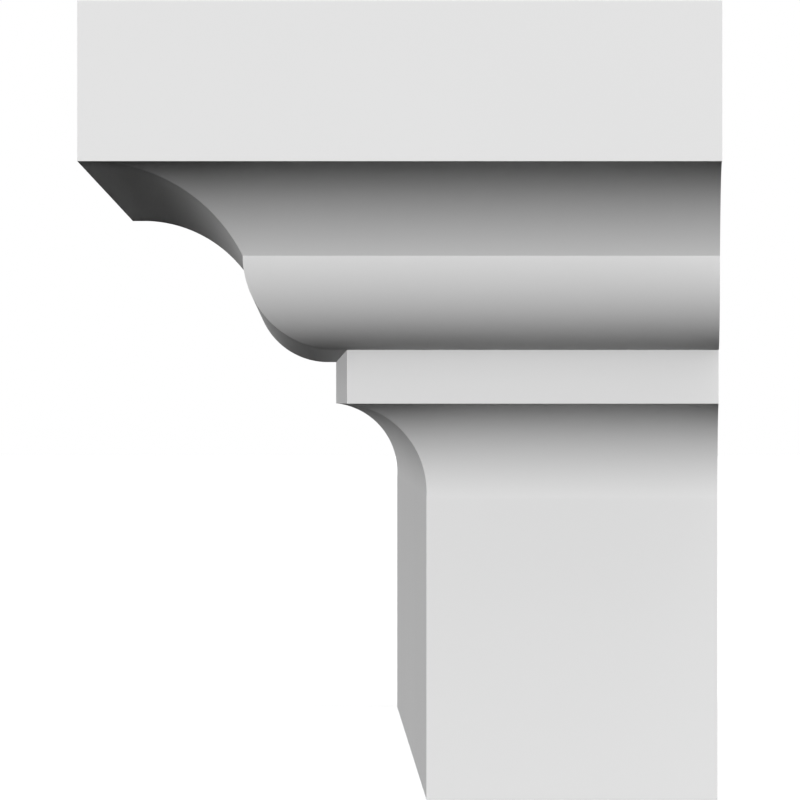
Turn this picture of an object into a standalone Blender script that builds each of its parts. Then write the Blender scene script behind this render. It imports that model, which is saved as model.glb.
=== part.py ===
"""A door crosshead: the moulded head that caps the casing over a doorway.

One moulded piece. A plain frieze board carries a crown that steps out over it, and the crown turns back to the
wall at both ends with the same profile. Up the front, from the underside, the profile is the plain frieze, a small
cove, a square fillet, a quarter-round ovolo, a larger cavetto and a tall flat fascia.

Units are metres, +Z is up, +X runs along the crosshead and the front faces -Y. The origin is the middle of the
frieze's underside.
"""

import math

import bmesh
import bpy

# Whole piece
HEIGHT = 0.127
FRIEZE_LENGTH = 1.4732
FRIEZE_DEPTH = 0.0465

# Crown, from the frieze's face out to the fascia
FASCIA_PROJECTION = 0.0554
FASCIA_HEIGHT = 0.0254
FASCIA_SOFFIT = 0.0021  # flat underside of the fascia, before the cavetto starts
CAVETTO_DROP = 0.0148  # from the fascia's underside down to the arris
OVOLO_RADIUS = 0.0149
OVOLO_QUIRK = 0.0017  # flat step between the ovolo's foot and the fillet
FILLET_PROJECTION = 0.0127
FILLET_HEIGHT = 0.0086
COVE_RADIUS = 0.01425

# Facets along each curved member
CAVETTO_FACETS = 24
OVOLO_FACETS = 24
COVE_FACETS = 20

# Finish
PRIMER_COLOUR = (0.80, 0.80, 0.80, 1.0)
PRIMER_ROUGHNESS = 0.55
SHARP_ANGLE = math.radians(15)  # steeper turns than this stay crisp arrises


def arc(centre, radius, start, end, facets):
    """Points on a circle in the profile's plane, from one angle to another, both ends included."""
    angles = [start + (end - start) * i / facets for i in range(facets + 1)]
    return [(centre[0] + radius * math.cos(a), centre[1] + radius * math.sin(a)) for a in angles]


def cavetto(arris, crown):
    """Hollow from the arris up to its crown, where it lies level with the fascia's soffit."""
    reach = crown[0] - arris[0]
    rise = crown[1] - arris[1]
    radius = (reach**2 + rise**2) / (2 * rise)
    centre = (crown[0], crown[1] - radius)
    start = math.atan2(arris[1] - centre[1], arris[0] - centre[0])
    return arc(centre, radius, start, math.pi / 2, CAVETTO_FACETS)


def ovolo(arris):
    """Quarter round from its level foot out and up to the arris, where it is upright."""
    centre = (arris[0] - OVOLO_RADIUS, arris[1])
    return arc(centre, OVOLO_RADIUS, -math.pi / 2, 0, OVOLO_FACETS)


def cove(fillet_foot):
    """Hollow that springs upright from the frieze's face and ends at the fillet's lower edge."""
    end = math.acos((fillet_foot[0] - COVE_RADIUS) / COVE_RADIUS)
    centre = (COVE_RADIUS, fillet_foot[1] - COVE_RADIUS * math.sin(end))
    return arc(centre, COVE_RADIUS, math.pi, end, COVE_FACETS)


def profile():
    """The outline from the underside to the top, as (projection beyond the frieze's face, height) points."""
    soffit = HEIGHT - FASCIA_HEIGHT
    arris = (FILLET_PROJECTION + OVOLO_QUIRK + OVOLO_RADIUS, soffit - CAVETTO_DROP)
    crown = (FASCIA_PROJECTION - FASCIA_SOFFIT, soffit)
    fillet_top = (FILLET_PROJECTION, arris[1] - OVOLO_RADIUS)
    fillet_foot = (FILLET_PROJECTION, fillet_top[1] - FILLET_HEIGHT)

    points = [(0, 0)]
    points += cove(fillet_foot)
    points.append(fillet_top)
    points += ovolo(arris)
    points += cavetto(arris, crown)[1:]  # its first point is the arris, which the ovolo has
    points.append((FASCIA_PROJECTION, soffit))
    points.append((FASCIA_PROJECTION, HEIGHT))
    return points


def crosshead_mesh(points):
    """Carries the profile round the ends and the front.

    At each point of the profile the piece is a rectangle in plan, as much larger than the frieze as the point
    projects, so both corners come out as true 45 degree mitres. The back is one flat face on the wall.
    """
    wall = FRIEZE_DEPTH / 2
    levels = []
    bm = bmesh.new()
    for projection, height in points:
        side = FRIEZE_LENGTH / 2 + projection
        front = -FRIEZE_DEPTH / 2 - projection
        plan = ((-side, wall), (-side, front), (side, front), (side, wall))
        levels.append([bm.verts.new((x, y, height)) for x, y in plan])

    for below, above in zip(levels, levels[1:]):
        for i in range(3):
            bm.faces.new((below[i], below[i + 1], above[i + 1], above[i]))
    bm.faces.new(levels[0])
    bm.faces.new(levels[-1])
    bm.faces.new([level[0] for level in levels] + [level[-1] for level in reversed(levels)])
    bmesh.ops.recalc_face_normals(bm, faces=bm.faces)

    mesh = bpy.data.meshes.new("crosshead")
    bm.to_mesh(mesh)
    bm.free()
    mesh.shade_smooth()
    mesh.set_sharp_from_angle(angle=SHARP_ANGLE)
    return mesh


def primed_urethane():
    """Moulded polyurethane in its white factory primer."""
    material = bpy.data.materials.new("primed_urethane")
    material.use_nodes = True
    shader = material.node_tree.nodes["Principled BSDF"]
    shader.inputs["Base Color"].default_value = PRIMER_COLOUR
    shader.inputs["Roughness"].default_value = PRIMER_ROUGHNESS
    shader.inputs["Metallic"].default_value = 0.0
    return material


def main():
    for old in list(bpy.data.objects):
        bpy.data.objects.remove(old)
    mesh = crosshead_mesh(profile())
    mesh.materials.append(primed_urethane())
    crosshead = bpy.data.objects.new("crosshead", mesh)
    bpy.context.scene.collection.objects.link(crosshead)


main()
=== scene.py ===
"""The looks of a door crosshead moulded in one piece of polyurethane and primed white at the factory.

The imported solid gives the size. One finely worked surface takes its place: the same profile with its
arrises eased, carried round both ends and the front. Lengths are metres, +Z is up, +X runs along the
crosshead and the front faces -Y. The camera looks along it from the +X end.
"""

import math

import bpy
import numpy as np
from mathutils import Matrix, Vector


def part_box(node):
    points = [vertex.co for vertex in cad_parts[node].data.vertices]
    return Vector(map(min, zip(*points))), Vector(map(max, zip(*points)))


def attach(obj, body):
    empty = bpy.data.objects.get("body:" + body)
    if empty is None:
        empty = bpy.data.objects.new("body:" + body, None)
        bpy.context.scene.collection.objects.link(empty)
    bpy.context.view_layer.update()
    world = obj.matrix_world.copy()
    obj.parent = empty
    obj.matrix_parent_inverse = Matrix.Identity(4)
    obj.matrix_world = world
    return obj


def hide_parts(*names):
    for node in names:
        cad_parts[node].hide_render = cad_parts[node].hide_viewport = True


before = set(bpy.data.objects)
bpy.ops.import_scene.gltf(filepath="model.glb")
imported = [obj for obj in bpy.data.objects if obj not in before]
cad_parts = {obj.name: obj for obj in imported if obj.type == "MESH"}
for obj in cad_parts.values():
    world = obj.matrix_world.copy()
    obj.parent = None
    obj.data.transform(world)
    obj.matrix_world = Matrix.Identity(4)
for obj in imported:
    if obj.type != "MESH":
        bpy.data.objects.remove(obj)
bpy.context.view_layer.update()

# The profile's members, as in the part's own source; the height, depth and length come from the imported
# solid
FASCIA_PROJECTION = 0.0554
FASCIA_HEIGHT = 0.0254
FASCIA_SOFFIT = 0.0021  # flat underside of the fascia, before the cavetto starts
CAVETTO_DROP = 0.0148  # from the fascia's underside down to the arris
OVOLO_RADIUS = 0.0149
OVOLO_QUIRK = 0.0017  # flat step between the ovolo's foot and the fillet
FILLET_PROJECTION = 0.0127
FILLET_HEIGHT = 0.0086
COVE_RADIUS = 0.01425
COVE_BITE = 0.00003  # how far the cove is cut behind the frieze's face, for the faint line where they meet

LOW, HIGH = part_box("crosshead")
HEIGHT = HIGH.z
HALF_FRIEZE = HIGH.x - FASCIA_PROJECTION
FRIEZE_Y = LOW.y + FASCIA_PROJECTION
FRIEZE_DEPTH = HIGH.y - FRIEZE_Y

# How finely the surface is worked
ARRIS_RADIUS = 0.00006  # the mould's edges are all but sharp
ARRIS_STEPS = 4
SHARP_TURN = math.radians(15)  # a turn above this in the profile is an arris or an inner corner
CREASE = math.radians(30)  # a turn above this in the finished surface isn't shaded smooth
GUARD = 0.0003  # the last of the frieze's face before the cove, so that the rest is shaded flat
CAP_MARGIN = 0.0006  # the level underside and top near the edge, before the flat caps take over
FACET = 0.0002  # along the curved members
RUN_SPAN = 0.02  # along the straight runs

# The photograph's view: a very long lens, square to the near end
PHOTO_SIDE = 800  # pixels
FOCAL_PIXELS = 30330
VANISHING_PIXEL = (300.94, 401.87)  # where the crosshead's length runs to
SENSOR_WIDTH = 36.0  # millimetres
EYE_TO_FRIEZE_END = 4.8454
EYE_FROM_WALL = 0.06655
EYE_HEIGHT = 0.0636

# Finish
PRIMER_LIGHT = "#EDEDED"
PRIMER_DARK = "#E9E9E9"
PRIMER_IOR = 1.48  # acrylic
GLOSSIEST, MATTEST = 0.56, 0.66  # the primer's roughness
DRIFT_WIDTH = 0.06  # how far apart the film's thick and thin places lie
PEEL_WIDTH = 0.0015
PEEL_HEIGHT = 0.000004

# Studio
WHITE = (1, 1, 1, 1)
FLOOR_COLOUR = "#F4F4F4"
FLOOR_GLOW = 0.47  # keeps the floor white where the piece shades it
FLOOR_SIDE = 60.0
FLOOR_GAP = 0.0001  # keeps the floor clear of the piece's underside

# Each light's name, azimuth, elevation, spread, strength, bounces and shadow. The photograph shades a face
# mostly by its slope, so few lights cast a shadow and only one bounces. The last two light the faces that it
# doesn't show.
LIGHTS = [
    ("softbox", 0, 30, 120, 1.32, 0, True),
    ("near_key", 0, 20, 30, 0.8, 0, False),
    ("near_high", 0, 60, 20, 0.21, 0, True),
    ("near_low", 0, -20, 30, 0.04, 0, False),
    ("corner", 45, 20, 30, 1.2, 1, False),
    ("front", 90, 20, 30, 0.6, 0, False),
    ("front_high", 90, 40, 20, 0.21, 0, True),
    ("far_end", 195, 11, 20, 1.7, 0, False),
    ("wall_side", 255, 11, 20, 1.1, 0, False),
]


def linear(hex_colour):
    """An sRGB hex colour as linear red, green, blue and alpha."""
    values = [int(hex_colour[i : i + 2], 16) / 255 for i in (1, 3, 5)]
    return [v / 12.92 if v <= 0.04045 else ((v + 0.055) / 1.055) ** 2.4 for v in values] + [1.0]


def add_node(tree, kind, settings=(), links=()):
    """Adds one shader node.

    Settings are (name or input, value) pairs, and links are (input, output socket) pairs.
    """
    node = tree.nodes.new(kind)
    for name, value in settings:
        if name in node.inputs:
            node.inputs[name].default_value = value
        else:
            setattr(node, name, value)
    for name, socket in links:
        tree.links.new(socket, node.inputs[name])
    return node


def arc(centre, radius, start, end):
    """Points of a circle: centre plus radius times (cos a, sin a), for angles a one facet's width apart."""
    angle = np.linspace(start, end, round(radius * abs(end - start) / FACET) + 1)
    return np.column_stack([centre[0] + radius * np.cos(angle), centre[1] + radius * np.sin(angle)])


def eased_corner(before, corner, after):
    """Rounds one corner of a line of points.

    For a turn of t the line is cut back by r tan(t / 2) on both sides, to A and B, and the quadratic
    (1 - s)^2 A + 2 s (1 - s) C + s^2 B bridges the gap with the corner C as its handle. One more point
    before A and one after B keep the faces beside it flat.
    """
    into, out = corner - before, after - corner
    into, out = into / np.linalg.norm(into), out / np.linalg.norm(out)
    cut = ARRIS_RADIUS * math.tan(math.acos(into @ out) / 2)
    a, b = corner - cut * into, corner + cut * out
    s = np.linspace(0, 1, ARRIS_STEPS + 1)[:, None]
    bridge = (1 - s) ** 2 * a + 2 * s * (1 - s) * corner + s**2 * b
    return np.vstack([a - cut * into, bridge, b + cut * out])


def eased(points):
    """A line of points with every sharp turn rounded."""
    step = np.diff(points, axis=0)
    step /= np.linalg.norm(step, axis=1)[:, None]
    turn = np.arccos(np.clip((step[1:] * step[:-1]).sum(1), -1, 1))
    made, last = [], 0
    for i in np.flatnonzero(turn > SHARP_TURN) + 1:
        made += [points[last:i], eased_corner(points[i - 1], points[i], points[i + 1])]
        last = i + 1
    return np.vstack([*made, points[last:]])


def filled(rows):
    """Divides each stretch longer than a span evenly, with all its columns in straight proportion."""
    gaps = np.linalg.norm(np.diff(rows[:, :2], axis=0), axis=1)
    shares = np.maximum(1, np.ceil(gaps / RUN_SPAN)).astype(int)
    stretches = [np.linspace(a, b, n, endpoint=False) for a, b, n in zip(rows, rows[1:], shares)]
    return np.vstack([*stretches, rows[-1:]])


def profile():
    """(projection, height) from the underside to the top: frieze, cove, fillet, ovolo, cavetto and fascia.

    The cove and the ovolo are arcs of their own radius. The cove's starts a little past upright, where it
    comes out through the frieze's face. The cavetto is the arc that lies level with the fascia's soffit
    and passes through the arris, so its radius is (reach^2 + drop^2) / (2 drop).
    """
    soffit = HEIGHT - FASCIA_HEIGHT
    arris = (FILLET_PROJECTION + OVOLO_QUIRK + OVOLO_RADIUS, soffit - CAVETTO_DROP)
    fillet_top = arris[1] - OVOLO_RADIUS
    fillet_foot = fillet_top - FILLET_HEIGHT
    cove_middle = COVE_RADIUS - COVE_BITE
    cove_end = math.acos((FILLET_PROJECTION - cove_middle) / COVE_RADIUS)
    cove_start = 2 * math.pi - math.acos(-cove_middle / COVE_RADIUS)
    cove_centre = (cove_middle, fillet_foot - COVE_RADIUS * math.sin(cove_end))
    cove_foot = cove_centre[1] + COVE_RADIUS * math.sin(cove_start)
    crown = FASCIA_PROJECTION - FASCIA_SOFFIT
    reach = crown - arris[0]
    cavetto_radius = (reach**2 + CAVETTO_DROP**2) / (2 * CAVETTO_DROP)
    cavetto_start = math.atan2(cavetto_radius - CAVETTO_DROP, -reach)

    members = [
        [(-CAP_MARGIN, 0), (0, 0), (0, cove_foot - GUARD)],
        arc(cove_centre, COVE_RADIUS, cove_start, cove_end),
        [(FILLET_PROJECTION, fillet_top)],
        arc((arris[0] - OVOLO_RADIUS, arris[1]), OVOLO_RADIUS, -math.pi / 2, 0),
        arc((crown, soffit - cavetto_radius), cavetto_radius, cavetto_start, math.pi / 2)[1:],
        [(FASCIA_PROJECTION, soffit), (FASCIA_PROJECTION, HEIGHT)],
        [(FASCIA_PROJECTION - CAP_MARGIN, HEIGHT)],
    ]
    return filled(eased(np.vstack(members)))


def plan():
    """The path round the piece, as rows (x, y, move x, move y).

    x and y are the frieze's own plan, with y measured from its face, and a point moves by (move x, move y)
    for a metre of projection. The path runs from the wall round the left end, the front and the right end
    to the wall again. The front corners move out diagonally and the path's ends move along the wall. What
    is between moves in proportion, so the members meet at true 45 degree mitres.
    """
    half, deep = HALF_FRIEZE, FRIEZE_DEPTH
    corners = np.array([(-half, deep), (-half, 0), (half, 0), (half, deep)])
    left, right = eased_corner(*corners[:3]), eased_corner(*corners[1:])
    rows = [
        [(-half, deep, -1, 0)],
        np.column_stack([left, np.tile((-1, -1), (len(left), 1))]),
        np.column_stack([right, np.tile((1, -1), (len(right), 1))]),
        [(half, deep, 1, 0)],
    ]
    return filled(np.vstack(rows))


def crosshead_surface():
    """The profile carried round the plan: (x + move x * p, y + move y * p, z) over all their points.

    p and z are the profile's projection and height. The back, the top and the underside are flat, one face
    each, on the grid's own edge points.
    """
    projection, height = (column[:, None] for column in profile().T)
    x, y, move_x, move_y = plan().T
    along = x + move_x * projection
    across = FRIEZE_Y + y + move_y * projection
    grid = np.stack(np.broadcast_arrays(along, across, height), axis=-1)
    index = np.arange(grid.shape[0] * grid.shape[1]).reshape(grid.shape[:2])
    quads = np.stack([index[:-1, :-1], index[:-1, 1:], index[1:, 1:], index[1:, :-1]], axis=-1)
    back = np.concatenate([index[:, 0], index[::-1, -1]])
    caps = [index[-1].tolist(), index[0, ::-1].tolist(), back.tolist()]

    mesh = bpy.data.meshes.new("crosshead_moulding")
    mesh.from_pydata(grid.reshape(-1, 3), [], [*quads.reshape(-1, 4).tolist(), *caps])
    mesh.shade_smooth()
    mesh.set_sharp_from_angle(angle=CREASE)
    return bpy.data.objects.new("crosshead_moulding", mesh)


def primed_polyurethane():
    """White acrylic primer sprayed on a polyurethane moulding: matt, even, and dead neutral in colour.

    The spray leaves a faint orange peel of about 1.5 mm, and its thickness drifts over a few centimetres,
    which the eye takes as a soft unevenness of tone and gloss.
    """
    material = bpy.data.materials.new("primed_polyurethane")
    material.use_nodes = True
    tree = material.node_tree
    shader = tree.nodes["Principled BSDF"]
    place = add_node(tree, "ShaderNodeTexCoord").outputs["Object"]
    drift = add_node(tree, "ShaderNodeTexNoise", [("Scale", 1 / DRIFT_WIDTH)], [("Vector", place)])
    thickness = drift.outputs["Fac"]
    tone = add_node(tree, "ShaderNodeValToRGB", links=[("Fac", thickness)])
    for stop, colour in zip(tone.color_ramp.elements, (PRIMER_DARK, PRIMER_LIGHT)):
        stop.color = linear(colour)
    gloss_range = [("To Min", GLOSSIEST), ("To Max", MATTEST)]
    gloss = add_node(tree, "ShaderNodeMapRange", gloss_range, [("Value", thickness)])
    peel = add_node(tree, "ShaderNodeTexNoise", [("Scale", 1 / PEEL_WIDTH)], [("Vector", place)])
    bump = add_node(tree, "ShaderNodeBump", [("Distance", PEEL_HEIGHT)], [("Height", peel.outputs["Fac"])])
    shader.inputs["Metallic"].default_value = 0.0
    shader.inputs["IOR"].default_value = PRIMER_IOR
    tree.links.new(tone.outputs["Color"], shader.inputs["Base Color"])
    tree.links.new(gloss.outputs["Result"], shader.inputs["Roughness"])
    tree.links.new(bump.outputs["Normal"], shader.inputs["Normal"])
    return material


def photograph_camera():
    """Stands in line with the crosshead, a little in front of the wall.

    It turns so that lines along the crosshead run to the photograph's vanishing pixel.
    """
    camera = bpy.data.objects.new("camera", bpy.data.cameras.new("camera"))
    bpy.context.scene.collection.objects.link(camera)
    camera.data.sensor_width = SENSOR_WIDTH
    camera.data.lens = FOCAL_PIXELS * SENSOR_WIDTH / PHOTO_SIDE
    camera.location = (HALF_FRIEZE + EYE_TO_FRIEZE_END, HIGH.y - EYE_FROM_WALL, EYE_HEIGHT)
    right = (PHOTO_SIDE / 2 - VANISHING_PIXEL[0]) / FOCAL_PIXELS
    up = (VANISHING_PIXEL[1] - PHOTO_SIDE / 2) / FOCAL_PIXELS
    camera.rotation_euler = Vector((-1, right, up)).to_track_quat("-Z", "Y").to_euler()
    bpy.context.scene.camera = camera


def studio_light(name, azimuth, elevation, spread, strength, bounces, shadow):
    """A far light, as seen from the piece.

    The azimuth goes from the near end (+X) towards the front (-Y), the elevation is above the floor and the
    spread is the light's own width, all in degrees.
    """
    light = bpy.data.lights.new(name, "SUN")
    light.energy = strength
    light.angle = math.radians(spread)
    light.use_shadow = shadow
    light.cycles.max_bounces = bounces
    lamp = bpy.data.objects.new(name, light)
    bpy.context.scene.collection.objects.link(lamp)
    a, e = math.radians(azimuth), math.radians(elevation)
    towards = Vector((math.cos(e) * math.cos(a), -math.cos(e) * math.sin(a), math.sin(e)))
    lamp.rotation_euler = towards.to_track_quat("Z", "Y").to_euler()


def studio():
    """The studio's soft lights, and a white surround that lights nothing."""
    scene = bpy.context.scene
    scene.view_settings.view_transform = "Standard"
    world = bpy.data.worlds.new("white_surround")
    world.use_nodes = True
    world.node_tree.nodes["Background"].inputs["Color"].default_value = WHITE
    world.cycles_visibility.diffuse = False
    world.cycles_visibility.glossy = False
    scene.world = world
    for light in LIGHTS:
        studio_light(*light)


def studio_floor():
    """A level sheet of white paper that runs into the surround and throws no light on the piece."""
    reach = FLOOR_SIDE / 2
    corners = [(-reach, -reach), (reach, -reach), (reach, reach), (-reach, reach)]
    mesh = bpy.data.meshes.new("floor")
    mesh.from_pydata([(x, y, -FLOOR_GAP) for x, y in corners], [], [(0, 1, 2, 3)])
    floor = bpy.data.objects.new("floor", mesh)
    floor.visible_diffuse = False
    floor.visible_glossy = False
    bpy.context.scene.collection.objects.link(floor)
    paper = bpy.data.materials.new("white_paper")
    paper.use_nodes = True
    shader = paper.node_tree.nodes["Principled BSDF"]
    shader.inputs["Base Color"].default_value = linear(FLOOR_COLOUR)
    shader.inputs["Roughness"].default_value = 1.0
    shader.inputs["Specular IOR Level"].default_value = 0.0
    shader.inputs["Emission Color"].default_value = WHITE
    shader.inputs["Emission Strength"].default_value = FLOOR_GLOW
    mesh.materials.append(paper)


def main():
    photograph_camera()
    studio()
    studio_floor()
    moulding = crosshead_surface()
    bpy.context.scene.collection.objects.link(moulding)
    moulding.data.materials.append(primed_polyurethane())
    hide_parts("crosshead")
    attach(moulding, "root")
    bpy.context.view_layer.update()


main()
